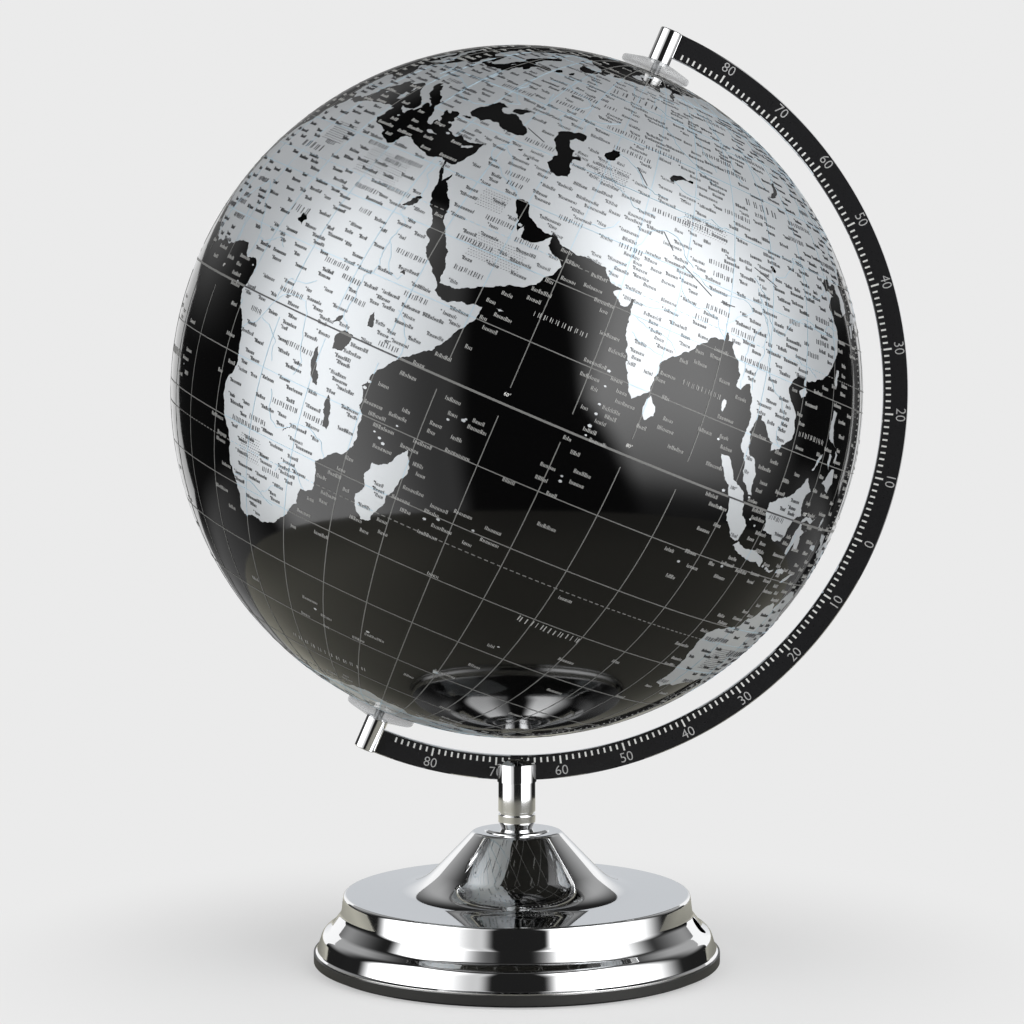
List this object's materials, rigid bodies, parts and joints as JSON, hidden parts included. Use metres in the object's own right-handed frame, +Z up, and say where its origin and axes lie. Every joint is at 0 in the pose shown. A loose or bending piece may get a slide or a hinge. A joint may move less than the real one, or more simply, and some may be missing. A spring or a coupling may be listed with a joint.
{
  "type": "desktop globe on stand",
  "caption": "Globe of the earth that turns on a tilted axle in a half-ring meridian arc, on a chrome post and a round stepped base.",
  "frame": {"origin": "centre of the foot pad's underside, on the desk", "axes": "+Z up along the post; +X towards the back of the meridian arc, the side to which the axle leans; -Y towards the front"},
  "size_m": [0.32, 0.3, 0.4091],
  "materials": {
    "globe_black": "glossy black ocean print under clear varnish",
    "map_silver": "satin silver foil, the land",
    "print_white": "matt white print, ticks and numbers",
    "inner_plastic": "moulded",
    "clear_plastic": "clear, polished",
    "chrome": "mirror chrome plate",
    "arc_black": "black enamel on steel, bright edges",
    "steel": "zinc plated",
    "black_screw": "black oxide",
    "cast_iron": "raw casting",
    "base_plastic": "satin black",
    "foam": "fine closed-cell foam"
  },
  "bodies": {
    "stand": {"north_clear_disc": "clear_plastic", "south_clear_disc": "clear_plastic", "axle_rod": "steel", "north_end_cap": "chrome", "south_end_cap": "chrome", "cap_grub_screws": "black_screw", "meridian_arc": "arc_black", "post_head": "chrome", "arc_set_screw": "black_screw", "post_tube": "chrome", "post_foot_ring": "chrome", "post_washer": "chrome", "base_cover": "chrome", "tie_rod": "steel", "tie_washer": "steel", "tie_nut": "steel", "ballast_weight": "cast_iron", "base_plate": "base_plastic", "base_screws": "steel", "foot_pad": "foam"},
    "globe": {"globe_north_shell": "globe_black", "globe_south_shell": "globe_black", "equator_band": "inner_plastic", "north_pole_bush": "inner_plastic", "south_pole_bush": "inner_plastic"}
  },
  "joints": [
    {"name": "globe_spin", "type": "hinge", "parent": "stand", "child": "globe", "pos_m": [0, 0, 0.251], "axis": [0.3939, 0, 0.9191], "continuous": true}
  ]
}
